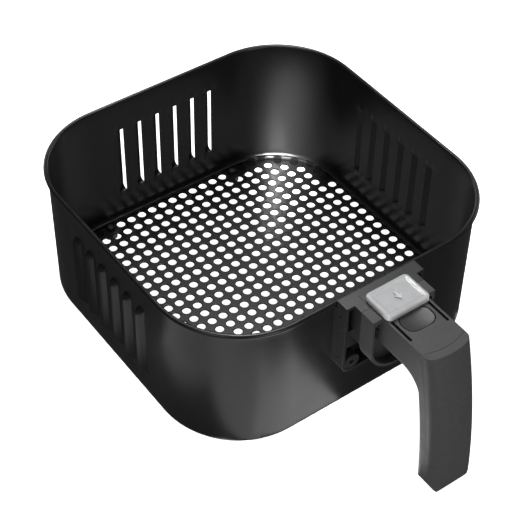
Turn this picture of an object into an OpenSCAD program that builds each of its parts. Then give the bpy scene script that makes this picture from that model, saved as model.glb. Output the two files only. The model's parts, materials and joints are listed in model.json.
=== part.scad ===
/* [Basket] */
// Width of the basket across its flat walls
basket_w = 207; // [190:1:230]
// Radius of the basket's upright corners
corner_r = 52; // [48:1:56]
// Height of the rim above the table
rim_h = 98.3; // [96:0.1:104]
// Thickness of the wall sheet
wall_t = 0.8; // [0.6:0.1:1]
// Radius of the rolled edge at the rim
bead_r = 1.5; // [1.2:0.1:1.8]
// Radius of the fold at the foot of the wall
fillet_r = 5; // [4.6:0.1:5.2]

/* [Floor] */
// Spacing of the floor holes
pitch = 8; // [7.8:0.1:8.4]
// Diameter of a floor hole
hole_d = 5.5; // [3:0.1:5.6]
// Thickness of the floor sheet
plate_t = 0.8; // [0.6:0.1:1]
// Height of the feet under the floor sheet
foot_h = 5; // [4.5:0.1:5]
// Diameter of a foot
foot_d = 8.6; // [8:0.2:10]

/* [Louvres] */
// Number of louvres on each vented wall
louvre_count = 6; // [3:1:6]
// Spacing of the louvres
louvre_pitch = 13.2; // [12:0.1:14]
// Width of a louvre
louvre_w = 4.8; // [4:0.2:7]
// Height of a louvre
louvre_h = 51.6; // [30:0.2:55]
// Height of the louvres' middle above the table
louvre_mid = 51.4; // [48:0.2:55]
// How far a louvre stands out of the wall
louvre_out = 3.2; // [2.5:0.1:4]

/* [Handle] */
// Width of the handle
handle_w = 29.6; // [29:0.1:30]
// Height of the handle's top face
top_z = 100.4; // [100:0.1:101]
// Height of the underside of the handle's arm
arm_z = 77.5; // [76:0.1:79]
// Radius of the grip's outer face, seen from the side
grip_out = 411; // [410:0.5:412]
// Radius of the grip's inner face, seen from the side
grip_in = 394.2; // [393.5:0.1:394.8]
// Height of the grip's lower end
grip_end = 1; // [0.8:0.1:3]
// Depth of the grip's front panel
panel_t = 5; // [4.5:0.1:5.5]

/* [Release] */
// Width of the release button
button_w = 19; // [17:0.5:19]
// Length of the release button
button_l = 13; // [11:0.5:13]
// How far the button goes down
button_travel = 3; // [2:0.1:3]
// How far the button guard slides
guard_travel = 16.5; // [14:0.5:16.5]

/* [Hidden] */
$fn = 48;
black = [0.13, 0.13, 0.14];
dark = [0.2, 0.2, 0.21];
steel = [0.62, 0.62, 0.64];

// half length of a flat wall, which is where the corner centres are
flat = basket_w / 2 - corner_r;
floor_z = foot_h + plate_t;
fillet_z = foot_h + plate_t + fillet_r;
bead_z = rim_h - bead_r;
// rolled edge of the floor sheet, closed over the lip of the wall
hem_r = 1.4;
hem_u = corner_r - 3.2;
hem_z = floor_z + 1.2;
fit = 0.05;
gap = 0.3;
// hole pattern: rows out to the corner centres, then a round corner
hole_flat = 6 * pitch;
hole_reach = corner_r - 3.8;
hole_rows = floor((hole_flat + hole_reach) / pitch);
feet = [[-6, 12], [6, 12], [-6, -11], [6, -11]];
stem_d = 3.4;
// faces of the front wall
front = -basket_w / 2;
front_in = front + wall_t;

// mounting bracket and collar on the front wall
bracket_w = 52.8;
bracket_low = 48;
bracket_y = front - 11;
bracket_t = 1.8;
collar_w = 42.4;
collar_back = front - 16.9;
collar_y = front - 26.5;
collar_mid = 78;
cover_t = 2.2;
cover_z = top_z - cover_t;
boss_x = 19.6;
boss_z = 54.7;
boss_d = 10;
screw_d = 3;
rivet_at = [[-8, 64], [8, 64], [-8, 88], [8, 88]];
rivet_d = 4;

// grip: bent about an axis far behind the basket
bend_y = 226;
bend_z = -12.4;
crown_r = 40;
back_r = 6.5;
elbow_r = 14;
shell_t = 2;
arm_end = front - 46.5;
arm_in = handle_w / 2 - 1.4;
elbow = [arm_end + 3, arm_z - elbow_r + 0.3];
cover_back = front - 7;
screw_angles = [6.2, 11.2];
// cover screws: up through a web in the rear shell, into bosses under the cover
cover_screw_x = 7;
cover_screw_y = arm_end - 3;
cover_screw_d = 2.2;
web_top = cover_z - 5;
web_low = web_top - 2;

// release parts
// gap round the button
groove = 0.6;
slot_x = 12.6;
slot_w = 1.6;
slot_back = front - 10.3;
slot_front = front - 47.2;
button_y = front - 36.8;
pin_y = button_y + 13.3;
pin_z = 90.5;
pin_d = 3;
lever_w = 8;
hook_y = front - 9.6;
tang_z = 82;
tang_t = 2;
lever_low = 89;
lever_top = 94;
guard_w = 29;
guard_back = front - 9.75;
guard_l = 21.3;
guard_z = top_z + gap;
guard_t = 1.2;
guard_h = 3.6;

// a profile of distance from the corner centre and height, swept round the basket
module around() {
  for (k = [0:3]) {
    rotate([0, 0, 90 * k]) {
      translate([flat, flat, 0]) rotate_extrude(angle = 90) children();
      translate([0, flat, 0]) rotate([90, 0, 90])
        linear_extrude(height = 2 * flat, center = true) children();
    }
  }
}
// an outline of width and height, made solid between two depths
module slab(y_low, y_high) {
  translate([0, y_high, 0]) rotate([90, 0, 0]) linear_extrude(height = y_high - y_low) children();
}
// a side outline of depth and height, made solid across the middle
module side(w) {
  rotate([90, 0, 90]) linear_extrude(height = w, center = true) children();
}
// a plan outline, made solid between two heights
module plan(z_low, z_high) {
  translate([0, 0, z_low]) linear_extrude(height = z_high - z_low) children();
}
module rounded(w, l, r) {
  square([w - 2 * r, l], center = true);
  square([w, l - 2 * r], center = true);
  for (x = [-1, 1], y = [-1, 1]) {
    translate([x * (w / 2 - r), y * (l / 2 - r)]) circle(r = r);
  }
}
// an outline with a flat top at the given height and a round or rounded foot
module tongue(w, low, high, r) {
  translate([-w / 2, low + r]) square([w, high - low - r]);
  if (w > 2 * r) translate([-w / 2 + r, low]) square([w - 2 * r, r + 1]);
  for (x = [-1, 1]) translate([x * (w / 2 - r), low + r]) circle(r = r);
}
// a rod along the depth
module rod(x, z, d, y_low, y_high) {
  translate([x, y_high, z]) rotate([90, 0, 0]) cylinder(d = d, h = y_high - y_low);
}

// basket wall: folded foot, flat sides with round corners, rolled rim, louvres on three sides
module fold(grow) {
  intersection() {
    translate([corner_r - fillet_r, fillet_z]) difference() {
      circle(r = fillet_r + grow);
      circle(r = fillet_r - wall_t - grow);
    }
    translate([hem_u + 0.1 - grow, foot_h]) square([fillet_r + 2, fillet_z - foot_h]);
  }
}
module wall_profile() {
  translate([corner_r - wall_t, fillet_z]) square([wall_t, bead_z - fillet_z]);
  translate([corner_r - wall_t + bead_r, bead_z]) circle(r = bead_r);
  fold(0);
}
// solid of a louvre standing out of the wall, or the space inside one
module louvre(inset) {
  low = louvre_mid - louvre_h / 2 + inset;
  out = louvre_out - inset;
  intersection() {
    plan(0, rim_h) polygon([[-louvre_w, -wall_t - inset], [inset, -wall_t - inset],
      [inset, out], [0, out], [-louvre_w, -inset]]);
    side(3 * louvre_w) polygon([[-wall_t - inset, low], [-inset, low], [out, low + louvre_out],
      [out, low + louvre_h - 2 * inset - louvre_out], [-inset, low + louvre_h - 2 * inset],
      [-wall_t - inset, low + louvre_h - 2 * inset]]);
  }
}
module louvres(inset) {
  for (k = [-1:1], i = [0:louvre_count - 1]) {
    rotate([0, 0, -90 * k])
      translate([(i - (louvre_count - 1) / 2) * louvre_pitch + 2.5, basket_w / 2, 0]) louvre(inset);
  }
}
module basket_wall() {
  color(black) difference() {
    union() {
      around() wall_profile();
      louvres(0);
    }
    louvres(wall_t);
    for (p = rivet_at) rod(p[0], p[1], rivet_d + 2 * fit, front - 2, front + 2);
    for (x = [-boss_x, boss_x]) rod(x, boss_z, screw_d + 2 * fit, front - 2, front + 2);
  }
}

// perforated floor with its edge rolled over the lip of the wall
function in_pattern(x, y) = norm([max(abs(x) - hole_flat, 0), max(abs(y) - hole_flat, 0)]) <= hole_reach;
function is_foot(i, j) = len([for (f = feet) if (f[0] == i && f[1] == j) 1]) > 0;
module floor_plate() {
  color(dark) difference() {
    union() {
      plan(foot_h, floor_z) rounded(2 * (flat + hem_u), 2 * (flat + hem_u), hem_u);
      around() translate([hem_u, hem_z]) circle(r = hem_r);
    }
    around() fold(fit);
    for (i = [-hole_rows:hole_rows], j = [-hole_rows:hole_rows]) {
      if (in_pattern(i * pitch, j * pitch) && !is_foot(i, j)) {
        translate([i * pitch, j * pitch, foot_h - 1]) cylinder(d = hole_d, h = plate_t + 2);
      }
    }
    for (f = feet) {
      translate([f[0] * pitch, f[1] * pitch, foot_h - 1]) cylinder(d = stem_d + 2 * fit, h = plate_t + 2);
    }
  }
}

// push-in foot: a pad under the floor, a stem through it and a snap head above
module foot(k) {
  head_d = 4.6;
  head_h = 2.9;
  color([0.1, 0.1, 0.1]) translate([feet[k][0] * pitch, feet[k][1] * pitch, 0]) {
    cylinder(d = foot_d, h = foot_h - fit);
    cylinder(d = stem_d, h = floor_z + 1);
    translate([0, 0, floor_z + fit]) intersection() {
      cylinder(d = head_d, h = head_h);
      translate([0, 0, head_h - 3.2]) sphere(r = 3.2);
    }
  }
}

// open-fronted bracket on the front wall, standing clear of the rolled rim
module mount_bracket() {
  inner_w = bracket_w - 2 * bracket_t;
  web_x = collar_w / 2;
  ledge_low = 69;
  ledge_high = 82;
  ledge_x = 17;
  under_rim = bead_z - bead_r - gap;
  over_rim = rim_h + gap;
  back = front - fit;
  rim_front = front - 2.6;
  color(black) difference() {
    union() {
      difference() {
        union() {
          slab(bracket_y, back) tongue(bracket_w, bracket_low, under_rim, 6);
          slab(bracket_y, rim_front) tongue(bracket_w, bracket_low + 10, top_z, 6);
        }
        slab(bracket_y - 1, back - bracket_t) difference() {
          tongue(inner_w, bracket_low + bracket_t, under_rim - bracket_t, 4.4);
          for (x = [-1, 1]) translate([x * (ledge_x + 6), (ledge_low + ledge_high) / 2])
            square([12, ledge_high - ledge_low], center = true);
        }
        slab(bracket_y - 1, rim_front - bracket_t)
          translate([-inner_w / 2, ledge_high]) square([inner_w, over_rim - ledge_high]);
      }
      // plate out to the collar, and the webs that carry it
      plan(over_rim, top_z) translate([-web_x, collar_back + fit])
        square([2 * web_x, bracket_y - collar_back + 1]);
      for (x = [-1, 1]) translate([x * (web_x - bracket_t / 2), 0, 0])
        side(bracket_t) translate([collar_back + fit, 76]) square([back - 1 - collar_back, over_rim - 76]);
      for (x = [-boss_x, boss_x]) rod(x, boss_z, boss_d, bracket_y + 0.2, back - 1);
    }
    // clear the rolled rim
    translate([-bracket_w, rim_front, under_rim]) cube([2 * bracket_w, 4, over_rim - under_rim]);
    // channel for the arm, the lever and the tang
    plan(over_rim - 20, top_z + 1) translate([-handle_w / 2 - fit, collar_back - 1])
      square([handle_w + 2 * fit, cover_back - collar_back + 1]);
    for (x = [-boss_x, boss_x]) rod(x, boss_z, screw_d + 2 * fit, bracket_y - 1, back + 1);
    for (p = rivet_at) rod(p[0], p[1], rivet_d + 2 * fit, bracket_y - 1, back + 1);
    // moulding marks in the side walls
    for (z = [59, 78, 91]) translate([-bracket_w, front - 6, z]) rotate([0, 90, 0])
      cylinder(d = 1.4, h = 2 * bracket_w);
  }
}

// round-bottomed collar that holds the root of the arm
module handle_collar() {
  recess = 5.5;
  ring = 1.8;
  low = collar_mid - collar_w / 2;
  color(dark) difference() {
    slab(collar_y, collar_back) tongue(collar_w, low, top_z, collar_w / 2);
    slab(collar_y - 1, collar_y + recess)
      tongue(collar_w - 2 * ring, low + ring, cover_z - 1, collar_w / 2 - ring);
    slab(collar_y - 1, collar_back + 1) tongue(handle_w + 2 * fit, arm_z - fit, top_z + 1, 6);
    // pocket behind, open towards the bracket
    slab(collar_y + recess + 2, collar_back + 1)
      tongue(collar_w - 2 * ring, low + ring, arm_z - 3, collar_w / 2 - ring - 4);
  }
}

// steel plate inside the wall, under the rivet heads
module backing_plate() {
  color(steel) difference() {
    slab(front_in + fit, front_in + 1.2) translate([0, 76]) rounded(30, 36, 4);
    for (p = rivet_at) rod(p[0], p[1], rivet_d + 2 * fit, front_in - 1, front_in + 3);
  }
}
module mount_rivets() {
  tang_face = front - fit - bracket_t - fit - tang_t;
  color(steel) for (p = rivet_at) {
    rod(p[0], p[1], rivet_d, tang_face - 1, front_in + 2);
    rod(p[0], p[1], rivet_d + 3, front_in + 1.2 + fit, front_in + 2.4);
    rod(p[0], p[1], rivet_d + 3, tang_face - 1.2, tang_face - fit);
  }
}
module bracket_screws() {
  color(steel) for (x = [-boss_x, boss_x]) {
    rod(x, boss_z, screw_d, bracket_y + 2.5, front_in + 1);
    difference() {
      rod(x, boss_z, 6.4, front_in + fit, front_in + 1.8);
      for (w = [[0.9, 3.6], [3.6, 0.9]]) translate([x, front_in + 1.8, boss_z])
        cube([w[0], 2, w[1]], center = true);
    }
  }
}

// points and solids in the bend of the grip
function bend(r, a) = [bend_y - r * cos(a), bend_z + r * sin(a)];
function angle_at(r, z) = asin((z - bend_z) / r);
module bent() {
  first = -4;
  last = 24;
  translate([0, bend_y, bend_z]) rotate([0, 90, 0]) rotate([0, 0, -90 - last])
    rotate_extrude(angle = last - first, $fn = 360) children();
}
// section of the grip: flat inner side, crowned outer side, round edges
module crowned(r_low, edge) {
  centre = grip_out - crown_r;
  half = handle_w / 2;
  r_edge = centre + sqrt(pow(crown_r - edge, 2) - pow(half - edge, 2));
  translate([r_low, -half]) square([r_edge - r_low, 2 * half]);
  intersection() {
    translate([centre, 0]) circle(r = crown_r, $fn = 96);
    translate([r_low, -half + edge * 0.6]) square([grip_out - r_low, 2 * half - edge * 1.2]);
  }
  for (s = [-1, 1]) translate([r_edge, s * (half - edge)]) circle(r = edge);
}
// solid inside the joint between the front panel and the rear shell
module joint_core(grow) {
  bent() intersection() {
    translate([grip_out - crown_r, 0]) circle(r = crown_r - panel_t + grow, $fn = 96);
    translate([grip_out - 60, -handle_w]) square([80, 2 * handle_w]);
  }
}
// side outline of the grip below the arm, with a round end
module grip_outline(inset) {
  proud = 0.4;
  r_low = grip_in + inset;
  r_high = grip_out - inset + proud;
  end_r = 8.4 - inset;
  end_z = grip_end + inset + end_r;
  inner = bend(r_low + end_r, angle_at(r_low + end_r, end_z));
  outer = bend(r_high - end_r, angle_at(r_high - end_r, end_z));
  intersection() {
    translate([bend_y, bend_z]) difference() {
      circle(r = r_high, $fn = 360);
      circle(r = r_low, $fn = 360);
    }
    translate([-250, end_z]) square([120, top_z - end_z]);
  }
  translate(inner) circle(r = end_r);
  translate(outer) circle(r = end_r);
  translate([outer[0], end_z - end_r]) square([inner[0] - outer[0], end_r + 1]);
}
// side outline of the elbow between the arm and the grip
module elbow_outline() {
  low = elbow[1] + 1.7;
  difference() {
    intersection() {
      translate([arm_end - 14, low]) square([14.5, top_z - low]);
      translate([bend_y, bend_z]) circle(r = grip_out + 1, $fn = 360);
    }
    translate(elbow) circle(r = elbow_r, $fn = 96);
  }
}
// section with its two inner edges rounded
module back_rounded(low, reach) {
  half = handle_w / 2 + 0.1;
  translate([low + back_r, -half]) square([reach - back_r, 2 * half]);
  translate([low, back_r - half]) square([back_r + 1, 2 * (half - back_r)]);
  for (s = [-1, 1]) translate([low + back_r, s * (half - back_r)]) circle(r = back_r);
}
// whole outside of the arm and grip, before it is split into pieces
module handle_solid() {
  slab(arm_end, collar_back) tongue(handle_w, arm_z, top_z, 6);
  intersection() {
    side(handle_w + 2) union() {
      grip_outline(0);
      elbow_outline();
    }
    bent() crowned(grip_in - 20, 5);
    slab(-250, 0) tongue(handle_w + 0.2, grip_end - 0.5, top_z + 5, 13);
    union() {
      bent() back_rounded(grip_in - 0.5, 40);
      translate([0, elbow[0], elbow[1]]) rotate([0, 90, 0]) rotate([0, 0, 180])
        rotate_extrude(angle = 90, $fn = 96) back_rounded(elbow_r - 0.5, 50);
    }
  }
}
// cavity of the arm and grip
module handle_cavity() {
  slab(arm_end - 9.5, collar_back + 1) tongue(2 * arm_in, arm_z + shell_t, top_z + 1, 4);
  intersection() {
    side(handle_w) grip_outline(shell_t);
    slab(-250, 0) tongue(2 * arm_in - 3.4, grip_end + 1.5, top_z + 2, 9);
  }
}
// a rod along the radius of the bend
module spoke(a, d, r_low, r_high) {
  p = bend(r_low, a);
  translate([0, p[0], p[1]]) rotate([90 - a, 0, 0]) cylinder(d = d, h = r_high - r_low);
}

module grip_rear_shell() {
  color(dark) difference() {
    union() {
      difference() {
        intersection() {
          handle_solid();
          union() {
            joint_core(-fit);
            slab(arm_end, collar_back) translate([-handle_w, 0]) square([2 * handle_w, top_z]);
          }
        }
        handle_cavity();
      }
      for (a = screw_angles) spoke(a, 7, grip_in + 1, grip_out - panel_t - fit);
      plan(web_low, web_top - fit) translate([-arm_in - 0.4, cover_screw_y - 3.5])
        square([2 * arm_in + 0.8, 7]);
    }
    for (x = [-1, 1]) translate([x * cover_screw_x, cover_screw_y, web_low - 1])
      cylinder(d = cover_screw_d + 2 * fit, h = 4);
    translate([-handle_w, -250, cover_z - fit]) cube([2 * handle_w, 250, 10]);
    for (a = screw_angles) {
      spoke(a, 3.3, grip_in - 2, grip_out);
      spoke(a, 6, grip_in - 4, grip_in + 2.6);
    }
    translate([-handle_w, pin_y, pin_z]) rotate([0, 90, 0]) cylinder(d = pin_d + 2 * fit, h = 2 * handle_w);
  }
}
module grip_front_panel() {
  boss_low = grip_out - panel_t + fit;
  color(dark) difference() {
    union() {
      difference() {
        handle_solid();
        joint_core(fit);
        slab(arm_end, collar_back + 1) translate([-handle_w, 0]) square([2 * handle_w, top_z + 1]);
        // hollow behind the skin
        intersection() {
          bent() intersection() {
            translate([grip_out - crown_r, 0]) circle(r = crown_r - shell_t, $fn = 96);
            translate([grip_out - 60, -arm_in + 1.2]) square([80, 2 * arm_in - 2.4]);
          }
          side(handle_w) grip_outline(shell_t);
          translate([-handle_w, -250, 0]) cube([2 * handle_w, 250, cover_z - 1]);
        }
      }
      for (a = screw_angles) spoke(a, 6.4, boss_low, grip_out - 1.4);
    }
    for (a = screw_angles) spoke(a, screw_d, boss_low - 1, grip_out - 2.2);
  }
}
module grip_screws() {
  color(steel) for (a = screw_angles) {
    spoke(a, screw_d - 2 * fit, grip_in + 2, grip_out - 2.4);
    difference() {
      spoke(a, 5.6, grip_in + 0.8, grip_in + 2.55);
      spoke(a, 1.8, grip_in, grip_in + 1.6);
    }
  }
}

// bent steel strip that carries the load from the wall into the grip
module handle_tang() {
  leg_y = front - fit - bracket_t - fit;
  r_in = grip_in + 5.2;
  low = 48;
  hook = bend(r_in, angle_at(r_in, tang_z + tang_t));
  strip_w = 16;
  color(steel) difference() {
    union() {
      slab(leg_y - tang_t, leg_y) translate([0, 76]) rounded(24, 34, 4);
      side(strip_w) translate([hook[0] - tang_t, tang_z]) square([leg_y - hook[0] + tang_t, tang_t]);
      intersection() {
        side(strip_w) intersection() {
          translate([bend_y, bend_z]) difference() {
            circle(r = r_in + tang_t, $fn = 360);
            circle(r = r_in, $fn = 360);
          }
          translate([-250, low]) square([150, tang_z + tang_t - low]);
        }
        translate([-strip_w, -250, low]) cube([2 * strip_w, 200, tang_z + tang_t - low]);
      }
    }
    for (p = rivet_at) rod(p[0], p[1], rivet_d + 2 * fit, front - 20, front + 1);
    for (a = screw_angles) spoke(a, 7.6, grip_in, grip_out);
    // slot for the lever's hook
    translate([-lever_w / 2 - 0.6, hook_y - 4.2, tang_z - 1]) cube([lever_w + 1.2, 7.4, tang_t + 2]);
  }
}

// top cover of the arm, with the button opening and the guard's two slots
module top_cover() {
  color(dark) difference() {
    union() {
      intersection() {
        translate([-handle_w / 2, arm_end - 20, cover_z]) cube([handle_w, cover_back - arm_end + 20, cover_t]);
        bent() {
          translate([grip_out - crown_r, 0]) circle(r = crown_r - panel_t - fit, $fn = 96);
          translate([grip_out - 80, -handle_w]) square([80 - crown_r, 2 * handle_w]);
        }
      }
      for (x = [-1, 1]) translate([x * cover_screw_x, cover_screw_y, web_top])
        cylinder(d = 5, h = cover_z - web_top + 1);
    }
    for (x = [-1, 1]) translate([x * cover_screw_x, cover_screw_y, web_top - 1])
      cylinder(d = cover_screw_d, h = 5.5);
    translate([0, button_y, cover_z - 1]) linear_extrude(height = 5)
      rounded(button_w + 2 * groove, button_l + 2 * groove, 5.5 + groove);
    for (x = [-slot_x, slot_x]) plan(cover_z - 1, top_z + 1) {
      translate([x - slot_w / 2, slot_front + slot_w / 2]) square([slot_w, slot_back - slot_front - slot_w]);
      for (y = [slot_front + slot_w / 2, slot_back - slot_w / 2]) translate([x, y]) circle(d = slot_w);
    }
  }
}
module cover_screws() {
  color(steel) for (x = [-1, 1]) translate([x * cover_screw_x, cover_screw_y, 0]) {
    plan(web_low - 1, cover_z - 0.7) circle(d = cover_screw_d - 2 * fit);
    plan(web_low - 1.4, web_low - fit) circle(d = 4.2);
  }
}

module release_button() {
  dish_r = 60;
  stem_low = lever_top + 0.5;
  flange_z = cover_z - gap - 1.2;
  color(black) difference() {
    translate([0, button_y, 0]) union() {
      plan(flange_z, top_z - 0.1) rounded(button_w, button_l, 5.5);
      plan(flange_z, flange_z + 1.2) rounded(button_w + 2.2, button_l + 2.2, 5.5);
      plan(stem_low, flange_z + 1) circle(d = 3);
    }
    translate([0, button_y, top_z - 0.9 + dish_r]) sphere(r = dish_r, $fn = 160);
  }
}

// closed coil spring between the tang and the lever
module button_spring() {
  coil_r = 3;
  wire_r = 0.45;
  turns = 4;
  low = tang_z + tang_t + fit + wire_r;
  high = lever_low - fit - wire_r;
  steps = 14 * turns;
  sides = 8;
  ring = [for (i = [0:steps], j = [0:sides - 1])
    let (a = 360 * turns * i / steps, b = 360 * j / sides, r = coil_r + wire_r * cos(b))
    [r * cos(a), r * sin(a), low + (high - low) * i / steps + wire_r * sin(b)]];
  quads = [for (i = [0:steps - 1], j = [0:sides - 1])
    [i * sides + j, i * sides + (j + 1) % sides, (i + 1) * sides + (j + 1) % sides, (i + 1) * sides + j]];
  caps = [[for (j = [sides - 1:-1:0]) j], [for (j = [0:sides - 1]) steps * sides + j]];
  color(steel) translate([0, button_y, 0]) polyhedron(points = ring, faces = concat(quads, caps));
}

// rocking latch lever: pad under the button at the back, hook in the bracket in front
module latch_lever() {
  hook_low = 72;
  color([0.55, 0.55, 0.57]) difference() {
    union() {
      side(lever_w) difference() {
        union() {
          translate([button_y - 3.6, lever_low]) square([hook_y - button_y + 3.6, lever_top - lever_low]);
          translate([hook_y - 3, hook_low]) square([3, lever_top - hook_low]);
          translate([hook_y - 5.4, hook_low]) square([5, 2.6]);
        }
        translate([button_y - 4, lever_low + 2]) square([8.6, 1]);
      }
      translate([-lever_w / 2 - 2, pin_y, pin_z]) rotate([0, 90, 0]) cylinder(d = 6, h = lever_w + 4);
    }
    translate([-lever_w, pin_y, pin_z]) rotate([0, 90, 0]) cylinder(d = pin_d + 2 * fit, h = 2 * lever_w);
  }
}
module lever_pin() {
  color(steel) translate([-handle_w / 2 + 0.3, pin_y, pin_z]) rotate([0, 90, 0])
    cylinder(d = pin_d, h = handle_w - 0.6);
}

// clear sliding guard: a shallow cap on four hooked legs that run in the slots
module button_guard() {
  mid = guard_back - guard_l / 2;
  leg_w = 1;
  leg_l = 2.4;
  hook_z = cover_z - gap - 1.1;
  color([0.9, 0.92, 0.93, 0.6]) {
    difference() {
      translate([0, mid, 0]) {
        plan(guard_z, guard_z + guard_h - 1) rounded(guard_w, guard_l, 3);
        plan(guard_z + guard_h - 1, guard_z + guard_h) rounded(guard_w - 1, guard_l - 1, 2.5);
      }
      translate([0, mid, 0]) plan(guard_z - 1, guard_z + guard_h - guard_t)
        rounded(guard_w - 2 * guard_t, guard_l - 2 * guard_t, 1.8);
      // open front edge
      translate([-guard_w / 2 + 4, guard_back - guard_l - 1, guard_z - 1])
        cube([guard_w - 8, 4, guard_h - guard_t + 0.4]);
    }
    for (x = [-1, 1], y = [guard_back - 2.6, guard_back - guard_l + 2.6]) {
      translate([x * slot_x - leg_w / 2, y - leg_l / 2, hook_z]) cube([leg_w, leg_l, guard_z - hook_z + 1.4]);
      translate([x * (slot_x - 0.6) - 1.1, y - leg_l / 2, hook_z]) cube([2.2, leg_l, 1]);
    }
  }
}
// raised arrow that shows which way the guard slides
module guard_arrow() {
  z = guard_z + guard_h + fit;
  color([0.75, 0.77, 0.78]) translate([0, guard_back - guard_l / 2, 0]) plan(z - fit, z + 0.25) {
    polygon([[0, -3.2], [2.6, 0], [-2.6, 0]]);
    translate([-1, -0.5]) square([2, 3.7]);
  }
}

basket_wall();
floor_plate();
foot(0);  // foot_back_left
foot(1);  // foot_back_right
foot(2);  // foot_front_left
foot(3);  // foot_front_right
mount_bracket();
handle_collar();
backing_plate();
mount_rivets();
bracket_screws();
handle_tang();
grip_rear_shell();
grip_front_panel();
top_cover();
cover_screws();
grip_screws();
release_button();
button_spring();
latch_lever();
lever_pin();
button_guard();
guard_arrow();
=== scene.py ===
import json
import math

import bmesh
import bpy
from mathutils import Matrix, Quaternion, Vector


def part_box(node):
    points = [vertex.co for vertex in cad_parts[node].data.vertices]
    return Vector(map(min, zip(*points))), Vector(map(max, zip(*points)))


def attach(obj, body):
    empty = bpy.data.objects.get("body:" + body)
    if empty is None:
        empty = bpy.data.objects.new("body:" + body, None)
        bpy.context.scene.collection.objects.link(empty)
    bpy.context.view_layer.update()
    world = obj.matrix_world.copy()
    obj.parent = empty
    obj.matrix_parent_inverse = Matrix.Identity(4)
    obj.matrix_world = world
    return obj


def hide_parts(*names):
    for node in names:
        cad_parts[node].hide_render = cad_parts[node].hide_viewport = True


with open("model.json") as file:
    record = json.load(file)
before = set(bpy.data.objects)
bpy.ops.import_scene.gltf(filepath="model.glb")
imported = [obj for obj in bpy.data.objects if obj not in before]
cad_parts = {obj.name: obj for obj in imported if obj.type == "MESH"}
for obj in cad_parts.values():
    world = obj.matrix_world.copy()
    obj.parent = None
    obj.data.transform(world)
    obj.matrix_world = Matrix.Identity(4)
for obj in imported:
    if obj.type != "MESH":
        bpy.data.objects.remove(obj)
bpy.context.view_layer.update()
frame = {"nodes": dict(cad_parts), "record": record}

# Air fryer basket: a pressed steel basket with a perforated floor and a plastic handle.
# Lengths are in metres. +Z is up and the handle points along -Y.
MM = 0.001

# Sheet metal: thickness, the rolled rim, the corners and the folded foot
WALL_T = 0.8 * MM
BEAD_R = 1.5 * MM
CORNER_R = 52 * MM
FOLD_R = 5 * MM
FOLD_START = 24  # degrees from straight down at which the fold begins
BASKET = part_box("basket_wall")
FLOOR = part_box("floor_plate")
HALF = -BASKET[0].y - 2 * BEAD_R + WALL_T
FLAT = HALF - CORNER_R
FOLD_Z = FLOOR[0].z + WALL_T + FOLD_R
BEAD_Z = BASKET[1].z - BEAD_R

# Mesh spacing of the wall
FOLD_STEPS = 6
CORNER_STEPS = 24
RIM_STEPS = 19
RIM_STEP_DEG = 17
PLAIN_STEP = 8 * MM
BETWEEN_LOUVRES_STEP = 3 * MM
ACROSS_LOUVRE_STEP = 0.6 * MM
PLAIN_ROW_STEP = 6 * MM
LOUVRE_ROW_STEP = 4 * MM
DOME_ROW_STEP = 0.3 * MM

# Louvres: a row of six on three walls, each closed on one long edge and domed at its ends.
# The lip is drawn back from the slot's edge, so width and shift are 0.8 mm over the CAD's.
LOUVRE_COUNT = 6
LOUVRE_PITCH = 13.2 * MM
LOUVRE_SHIFT = 3.3 * MM
LOUVRE_W = 5.6 * MM
LOUVRE_H = 51.6 * MM
LOUVRE_OUT = BASKET[1].x - HALF
LOUVRE_LOW = 25.6 * MM
LOUVRE_DOME = 4 * MM
LIP_BACK = 0.8 * MM

# Floor holes, and the turned-in edge that the punch leaves round each
HOLE_PITCH = 8 * MM
HOLE_R = 2.75 * MM
HOLE_EDGE = 0.5 * MM
HOLE_EDGE_DEPTH = 0.08 * MM

COATING_SPECULAR = 0.42
PLASTIC_EDGE_R = 0.35 * MM

# Height of the lit panels that lie on the table
TABLE_Z = 0.0004


# ---------------------------------------------------------------- materials

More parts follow.
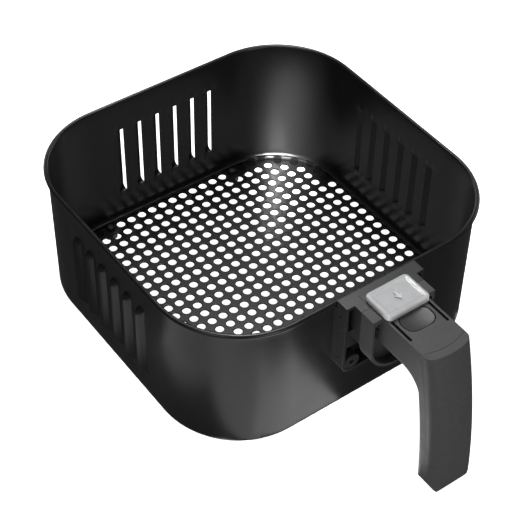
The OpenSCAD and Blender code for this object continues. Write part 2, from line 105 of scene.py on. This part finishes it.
class Look:
    """A material's node tree, with short calls for the nodes that the looks share."""

    def __init__(self, name, colour, rough, **sockets):
        self.material = bpy.data.materials.new(name)
        self.material.use_nodes = True
        self.tree = self.material.node_tree
        self.shader = self.tree.nodes["Principled BSDF"]
        self.set(Roughness=rough, **{"Base Color": (*colour, 1)}, **sockets)
        self.coords = self.node("ShaderNodeTexCoord").outputs["Object"]

    def node(self, kind, **settings):
        made = self.tree.nodes.new(kind)
        for key, value in settings.items():
            setattr(made, key, value)
        return made

    def link(self, source, target):
        self.tree.links.new(source, target)

    def set(self, **sockets):
        for key, value in sockets.items():
            self.shader.inputs[key].default_value = value

    def math(self, operation, *values):
        made = self.node("ShaderNodeMath", operation=operation)
        for socket, value in zip(made.inputs, values):
            if isinstance(value, (int, float)):
                socket.default_value = value
            else:
                self.link(value, socket)
        return made.outputs[0]

    def noise(self, size, detail=2.0, stretch=(1, 1, 1)):
        """Noise with features about size metres across."""
        place = self.node("ShaderNodeMapping")
        place.inputs["Scale"].default_value = stretch
        self.link(self.coords, place.inputs["Vector"])
        made = self.node("ShaderNodeTexNoise")
        made.inputs["Scale"].default_value = 1 / size
        made.inputs["Detail"].default_value = detail
        self.link(place.outputs[0], made.inputs["Vector"])
        return made.outputs["Fac"]

    def between(self, value, low, high, start=0.3, end=0.7):
        """Value, mapped from start..end to low..high."""
        made = self.node("ShaderNodeMapRange")
        self.link(value, made.inputs["Value"])
        ranges = {"From Min": start, "From Max": end, "To Min": low, "To Max": high}
        for key, number in ranges.items():
            made.inputs[key].default_value = number
        return made.outputs[0]

    def colours(self, value, low, high, start=0.3, end=0.7):
        made = self.node("ShaderNodeMix", data_type="RGBA")
        self.link(self.between(value, 0, 1, start, end), made.inputs[0])
        made.inputs[6].default_value = (*low, 1)
        made.inputs[7].default_value = (*high, 1)
        self.link(made.outputs[2], self.shader.inputs["Base Color"])

    def rough(self, value, low, high):
        self.link(self.between(value, low, high), self.shader.inputs["Roughness"])

    def soft_edges(self, radius):
        """Normals that round the piece's edges a little, as a mould does."""
        made = self.node("ShaderNodeBevel", samples=6)
        made.inputs["Radius"].default_value = radius
        return made.outputs[0]

    def bump(self, height, depth, after=None):
        """Raises the surface by depth metres times the height value."""
        made = self.node("ShaderNodeBump")
        made.inputs["Strength"].default_value = 1
        made.inputs["Distance"].default_value = depth
        self.link(height, made.inputs["Height"])
        if after is not None:
            self.link(after, made.inputs["Normal"])
        self.link(made.outputs[0], self.shader.inputs["Normal"])
        return made.outputs[0]


def coating_look(name, rough):
    """Black non-stick coating: near black, faint mottling, very fine orange peel."""
    look = Look(name, (0.006, 0.006, 0.0063), rough, **{"Specular IOR Level": COATING_SPECULAR})
    look.colours(look.noise(0.35 * MM, 1), (0.004, 0.004, 0.0042), (0.008, 0.008, 0.0083))
    look.rough(look.noise(14 * MM, 3), rough - 0.03, rough + 0.03)
    look.peel = look.bump(look.noise(1.1 * MM, 2), 0.006 * MM)
    return look


def floor_look():
    """The coating on the floor sheet, turned in and dark at the edge of each hole."""
    look = coating_look("floor_coating_black", 0.34)
    split = look.node("ShaderNodeSeparateXYZ")
    look.link(look.coords, split.inputs[0])
    across = [look.math("PINGPONG", split.outputs[k], HOLE_PITCH / 2) for k in (0, 1)]
    near = look.math("SQRT", look.math("ADD", *(look.math("POWER", x, 2) for x in across)))
    edge = look.node("ShaderNodeMapRange", interpolation_type="SMOOTHSTEP")
    look.link(near, edge.inputs["Value"])
    edge.inputs["From Min"].default_value = HOLE_R
    edge.inputs["From Max"].default_value = HOLE_R + HOLE_EDGE
    look.bump(edge.outputs[0], HOLE_EDGE_DEPTH, look.peel)
    specular = look.math("MULTIPLY", edge.outputs[0], COATING_SPECULAR)
    look.link(specular, look.shader.inputs["Specular IOR Level"])
    return look


def plastic_look(name, colour, rough, grain=0.3 * MM, depth=0.012 * MM):
    """Moulded plastic with an even spark-eroded grain."""
    look = Look(name, colour, rough, **{"Specular IOR Level": 0.45})
    look.colours(look.noise(2.5 * MM, 3), [0.9 * c for c in colour], [1.1 * c for c in colour])
    look.rough(look.noise(6 * MM, 2), rough - 0.03, rough + 0.04)
    look.bump(look.noise(grain, 2), depth, look.soft_edges(PLASTIC_EDGE_R))
    return look


def metal_look(name, colour, rough, stretch=(1, 1, 12)):
    """Plated or bare steel with fine drawn marks."""
    look = Look(name, colour, rough, Metallic=1.0)
    marks = look.noise(0.5 * MM, 3, stretch)
    look.colours(look.noise(4 * MM, 2), [0.85 * c for c in colour], colour)
    look.rough(marks, rough - 0.06, rough + 0.1)
    look.bump(marks, 0.004 * MM)
    return look


def clear_look():
    """Frosted clear polycarbonate."""
    look = Look("guard_plastic", (0.93, 0.94, 0.95), 0.2, IOR=1.5, **{"Transmission Weight": 0.55})
    look.colours(look.noise(5 * MM, 2), (0.86, 0.87, 0.88), (0.95, 0.95, 0.96))
    look.rough(look.noise(3 * MM, 2), 0.14, 0.26)
    look.bump(look.noise(0.8 * MM, 2), 0.004 * MM)
    return look


def rubber_look():
    """Matt black silicone."""
    look = Look("silicone_black", (0.018, 0.018, 0.019), 0.62, **{"Specular IOR Level": 0.35})
    look.colours(look.noise(1.5 * MM, 2), (0.014, 0.014, 0.015), (0.024, 0.024, 0.025))
    look.rough(look.noise(2 * MM, 2), 0.55, 0.7)
    look.bump(look.noise(0.25 * MM, 2), 0.008 * MM)
    return look


LOOKS = {
    "wall_coating": coating_look("wall_coating_black", 0.31),
    "floor_coating": floor_look(),
    "silicone": rubber_look(),
    "bracket_plastic": plastic_look("bracket_black", (0.014, 0.014, 0.0145), 0.36),
    "handle_plastic": plastic_look("handle_charcoal", (0.04, 0.04, 0.041), 0.5),
    "button_plastic": plastic_look("button_black", (0.03, 0.03, 0.031), 0.38,
                                   grain=0.22 * MM, depth=0.008 * MM),
    "zinc_steel": metal_look("zinc_plate", (0.56, 0.56, 0.54), 0.34),
    "fastener_steel": metal_look("screw_steel", (0.5, 0.5, 0.51), 0.3, (1, 8, 1)),
    "spring_steel": metal_look("spring_wire", (0.45, 0.45, 0.46), 0.26),
    "lever_steel": metal_look("lever_plate", (0.52, 0.52, 0.53), 0.32, (1, 12, 1)),
    "clear_plastic": clear_look(),
    "marking": plastic_look("arrow_grey", (0.55, 0.56, 0.57), 0.5),
}


def dress(obj, slot):
    """Gives obj the look of a material slot and nothing else."""
    obj.data.materials.clear()
    obj.data.materials.append(LOOKS[slot].material)


def dress_cad_nodes():
    """Dresses every CAD piece in the look that the record names for it."""
    for part in frame["record"]["subparts"]:
        dress(frame["nodes"][part["node"]], part["material_slot"])


# ---------------------------------------------------------------- basket wall

def hood(across, z):
    """How far a louvre stands out, across metres from its closed edge and at height z."""
    end = min(z - LOUVRE_LOW, LOUVRE_LOW + LOUVRE_H - z)
    if end <= 0 or across <= 0:
        return 0
    dome = math.sqrt(1 - (1 - min(end / LOUVRE_DOME, 1)) ** 2)
    return LOUVRE_OUT * dome * math.sin(math.pi / 2 * across / LOUVRE_W)


def lip_places():
    """Where each louvre's open lip is, along a wall from its middle."""
    first = LOUVRE_SHIFT - LOUVRE_PITCH * (LOUVRE_COUNT - 1) / 2
    return [first + LOUVRE_PITCH * i for i in range(LOUVRE_COUNT)]


def spread(low, high, step):
    """Even places about step apart, from low up to but not including high."""
    count = max(1, round((high - low) / step))
    return [low + (high - low) * k / count for k in range(count)]


def wall_columns(vented):
    """Columns of a flat wall: the place along it, and where the louvre it is part of starts."""
    if not vented:
        return [(x, None) for x in spread(-FLAT, FLAT, PLAIN_STEP)]
    columns = []
    at = -FLAT
    for lip in lip_places():
        start = lip - LOUVRE_W
        columns += [(x, None) for x in spread(at, start, BETWEEN_LOUVRES_STEP)]
        columns += [(x, start) for x in spread(start, lip, ACROSS_LOUVRE_STEP)]
        columns.append((lip, start))
        at = lip
    return columns + [(x, None) for x in spread(at, FLAT, BETWEEN_LOUVRES_STEP)]


def wall_rows():
    """Rows up the middle of the sheet: distance out from the corner's centre, and height."""
    mid = CORNER_R - WALL_T / 2
    fold = FOLD_R - WALL_T / 2
    rows = []
    for k in range(FOLD_STEPS):
        a = math.radians(FOLD_START + (90 - FOLD_START) * k / FOLD_STEPS)
        rows.append((CORNER_R - FOLD_R + fold * math.sin(a), FOLD_Z - fold * math.cos(a)))
    top = LOUVRE_LOW + LOUVRE_H
    for low, high, step in ((FOLD_Z, LOUVRE_LOW, PLAIN_ROW_STEP),
                            (LOUVRE_LOW, LOUVRE_LOW + LOUVRE_DOME, DOME_ROW_STEP),
                            (LOUVRE_LOW + LOUVRE_DOME, top - LOUVRE_DOME, LOUVRE_ROW_STEP),
                            (top - LOUVRE_DOME, top, DOME_ROW_STEP),
                            (top, BEAD_Z, PLAIN_ROW_STEP)):
        rows += [(mid, z) for z in spread(low, high, step)]
    curl = BEAD_R - WALL_T / 2
    for k in range(RIM_STEPS):
        a = math.radians(180 - RIM_STEP_DEG * k)
        rows.append((mid + curl + curl * math.cos(a), BEAD_Z + curl * math.sin(a)))
    return rows


def wall_piece():
    """The wall as one pressed sheet: folded foot, flat sides, hooded louvres and a rolled rim."""
    rows = wall_rows()
    mesh = bmesh.new()
    strips = []
    for side in range(4):
        turn = -math.pi / 2 * side
        for x, start in wall_columns(side != 2):
            strips.append((turn, x, 0, start))
        for k in range(CORNER_STEPS):
            strips.append((turn, FLAT, math.radians(90 * k / CORNER_STEPS), None))
    columns = []
    for turn, x, bend, start in strips:
        column = []
        for out, z in rows:
            lift = drawn = 0
            if start is not None:
                lift = hood(x - start, z)
                drawn = LIP_BACK * lift / LOUVRE_OUT * ((x - start) / LOUVRE_W) ** 2
            reach = out + lift
            px = x - drawn + reach * math.sin(bend)
            py = FLAT + reach * math.cos(bend)
            c, s = math.cos(turn), math.sin(turn)
            column.append(mesh.verts.new((c * px - s * py, s * px + c * py, z)))
        columns.append(column)
    for i, left in enumerate(columns):
        right = columns[(i + 1) % len(columns)]
        if (left[0].co - right[0].co).length < 1e-7:
            continue
        for a, b, c, d in zip(left, right, right[1:], left[1:]):
            mesh.faces.new((a, d, c, b))
    bmesh.ops.remove_doubles(mesh, verts=mesh.verts, dist=1e-6)
    return sheet_object("pressed_wall", mesh, WALL_T)


def object_from(name, mesh):
    """A scene object made from a bmesh, which it uses up."""
    data = bpy.data.meshes.new(name)
    mesh.to_mesh(data)
    mesh.free()
    obj = bpy.data.objects.new(name, data)
    bpy.context.scene.collection.objects.link(obj)
    return obj


def sheet_object(name, mesh, thickness):
    """An object from a bmesh skin at a sheet's middle, thickened, with crisp cut edges."""
    obj = object_from(name, mesh)
    thick = obj.modifiers.new("thickness", "SOLIDIFY")
    thick.thickness = thickness
    thick.offset = 0
    thick.use_even_offset = True
    thick.use_rim = True
    return settle(obj, 40)


def settle(obj, sharp):
    """Applies obj's modifiers and shades it smooth, with edges over sharp degrees left crisp."""
    graph = bpy.context.evaluated_depsgraph_get()
    final = bpy.data.meshes.new_from_object(obj.evaluated_get(graph))
    obj.modifiers.clear()
    obj.data = final
    final.shade_smooth()
    final.set_sharp_from_angle(angle=math.radians(sharp))
    return obj


# ---------------------------------------------------------------- guard

def outline(w, l, r, inset, z, y_mid):
    """Points at height z round a w by l rounded rectangle, pulled in by inset."""
    r = max(r - inset, 0.4 * MM)
    points = []
    for quarter in range(4):
        cx = (w / 2 - inset - r) * (1, -1, -1, 1)[quarter]
        cy = (l / 2 - inset - r) * (1, 1, -1, -1)[quarter]
        for k in range(9):
            a = math.pi / 2 * (quarter + k / 8)
            points.append(Vector((cx + r * math.cos(a), y_mid + cy + r * math.sin(a), z)))
    return points


def guard_piece():
    """The clear guard: a cap with a round rim and a panel line, on four hooked legs."""
    low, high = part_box("button_guard")
    w, l = high.x - low.x, high.y - low.y
    y_mid, top = (low.y + high.y) / 2, high.z
    skirt = top - 3.6 * MM
    rim, wall = 1.1 * MM, 1.2 * MM
    dip = 0.3 * MM
    rings = [(4 * MM, top - dip), (3 * MM, top - dip), (2.6 * MM, top - 0.05 * MM)]
    for k in range(7):
        a = math.radians(15 * k)
        rings.append((rim * (1 - math.sin(a)), top - rim * (1 - math.cos(a))))
    rings += [(0, skirt + 0.2 * MM), (0.2 * MM, skirt), (wall, skirt)]
    rings += [(wall, top - wall - 0.6 * MM), (wall + 0.6 * MM, top - wall - 0.1 * MM)]
    rings += [(4 * MM, top - wall - 0.1 * MM)]
    mesh = bmesh.new()
    loops = [[mesh.verts.new(p) for p in outline(w, l, 3 * MM, inset, z, y_mid)]
             for inset, z in rings]
    for upper, lower in zip(loops, loops[1:]):
        for k in range(len(upper)):
            n = (k + 1) % len(upper)
            mesh.faces.new((upper[k], lower[k], lower[n], upper[n]))
    mesh.faces.new(loops[0])
    mesh.faces.new(reversed(loops[-1]))
    leg_x, leg_in, leg_l, hook_h = 12.6 * MM, 2.6 * MM, 2.4 * MM, 1 * MM
    for x in (-leg_x, leg_x):
        for y in (low.y + leg_in, high.y - leg_in):
            leg(mesh, Vector((x, y, (low.z + skirt) / 2 + hook_h / 2)),
                (1 * MM, leg_l, skirt - low.z + hook_h))
            leg(mesh, Vector((x * 0.952, y, low.z + hook_h / 2)), (2.2 * MM, leg_l, hook_h))
    return settle(object_from("clear_guard", mesh), 50)


def leg(mesh, centre, size):
    """A block with softened edges, for a leg or its hook."""
    made = bmesh.ops.create_cube(mesh, size=1)["verts"]
    bmesh.ops.scale(mesh, vec=size, verts=made)
    bmesh.ops.translate(mesh, vec=centre, verts=made)
    edges = list({edge for vert in made for edge in vert.link_edges})
    bmesh.ops.bevel(mesh, geom=edges, offset=0.15 * MM, segments=2, affect="EDGES")


# ---------------------------------------------------------------- stage

def stage():
    """A floor that glows white but isn't mirrored in the coating, and dim pale surroundings."""
    look = Look("studio_floor", (0.92, 0.92, 0.92), 0.7, **{"Specular IOR Level": 0.1})
    look.colours(look.noise(0.5, 1), (0.91, 0.91, 0.91), (0.93, 0.93, 0.93))
    look.set(**{"Emission Color": (1, 1, 1, 1), "Emission Strength": 1.0})
    mesh = bmesh.new()
    bmesh.ops.create_grid(mesh, x_segments=8, y_segments=8, size=6)
    floor = object_from("studio_floor", mesh)
    floor.data.materials.append(look.material)
    floor.visible_glossy = False
    world = bpy.data.worlds.new("studio")
    world.use_nodes = True
    background = world.node_tree.nodes["Background"]
    background.inputs["Color"].default_value = (0.9, 0.9, 0.9, 1)
    background.inputs["Strength"].default_value = 0.07
    bpy.context.scene.world = world


def direction(azimuth, elevation):
    """A unit vector, azimuth degrees round from -Y towards +X and elevation degrees up."""
    a, e = math.radians(azimuth), math.radians(elevation)
    return Vector((math.sin(a) * math.cos(e), -math.cos(a) * math.cos(e), math.sin(e)))


def softbox(name, azimuth, elevation, distance, size, radiance, aim=(0, 0, 0.05)):
    """An area light at that direction from its aim point, facing it."""
    back = direction(azimuth, elevation)
    panel(name, Vector(aim) + distance * back, -back, size, radiance)


def panel(name, place, facing, size, radiance, spread_deg=180):
    """An area light of even radiance, out of the camera's sight."""
    light = bpy.data.lights.new(name, "AREA")
    light.shape = "RECTANGLE"
    light.size, light.size_y = size
    light.energy = radiance * math.pi * size[0] * size[1]
    light.spread = math.radians(spread_deg)
    obj = bpy.data.objects.new(name, light)
    bpy.context.scene.collection.objects.link(obj)
    obj.visible_camera = False
    obj.location = place
    obj.rotation_mode = "QUATERNION"
    obj.rotation_quaternion = facing.to_track_quat("-Z", "Y")


def lit_table(name, x, y, size, radiance):
    """A lit patch lying on the table, for the coating to mirror in place of the glowing floor."""
    panel(name, Vector((x, y, TABLE_Z)), Vector((0, 0, 1)), size, radiance)


def lights():
    """The lit table, a narrow strip for the back corner's streak, and the studio's soft boxes."""
    lit_table("lit_table_under", 0, 0, (0.186, 0.186), 0.7)
    lit_table("lit_table_front", -0.045, -0.135, (0.066, 0.055), 1.7)
    lit_table("lit_table_corner", -0.13, -0.14, (0.12, 0.08), 1.0)
    lit_table("lit_table_left", -0.17, -0.05, (0.06, 0.1), 0.7)
    corner = Vector((0.085, 0.085, 0.03))
    hang = Vector((0.0, -0.028, 0.14))
    panel("corner_strip", hang, corner - hang, (0.015, 0.08), 22, 15)
    softbox("overhead", 0, 88, 1.0, (0.7, 0.7), 2.0)
    softbox("back_strip", 143, 70, 0.9, (0.05, 0.5), 54)
    softbox("front", -5, 12, 1.2, (0.4, 0.3), 9)
    softbox("front_left", -60, 30, 1.2, (0.5, 0.8), 1.6)
    softbox("right_side", 95, 14, 1.2, (0.9, 0.4), 2.5)
    softbox("back_side", 175, 14, 1.2, (0.9, 0.4), 2.5)


# ---------------------------------------------------------------- camera

def camera():
    """The camera, set by its direction from the point it looks at and a small roll."""
    azimuth, elevation, roll = -37.03, 45.30, 1.38
    aim = Vector((-12.0, -22.8, 50.0)) * MM
    distance = 863.3 * MM
    data = bpy.data.cameras.new("camera")
    data.sensor_width = 36
    data.lens = 99.5
    data.clip_start = 0.01
    data.clip_end = 50
    obj = bpy.data.objects.new("camera", data)
    bpy.context.scene.collection.objects.link(obj)
    back = direction(azimuth, elevation)
    facing = (-back).to_track_quat("-Z", "Y")
    obj.location = aim + distance * back
    obj.rotation_mode = "QUATERNION"
    obj.rotation_quaternion = Quaternion(back, math.radians(roll)) @ facing
    bpy.context.scene.camera = obj


# ---------------------------------------------------------------- build

dress_cad_nodes()
wall = wall_piece()
dress(wall, "wall_coating")
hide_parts("basket_wall")
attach(wall, "basket")
guard = guard_piece()
dress(guard, "clear_plastic")
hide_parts("button_guard")
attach(guard, "guard")
stage()
lights()
camera()
bpy.context.scene.view_settings.view_transform = "Standard"
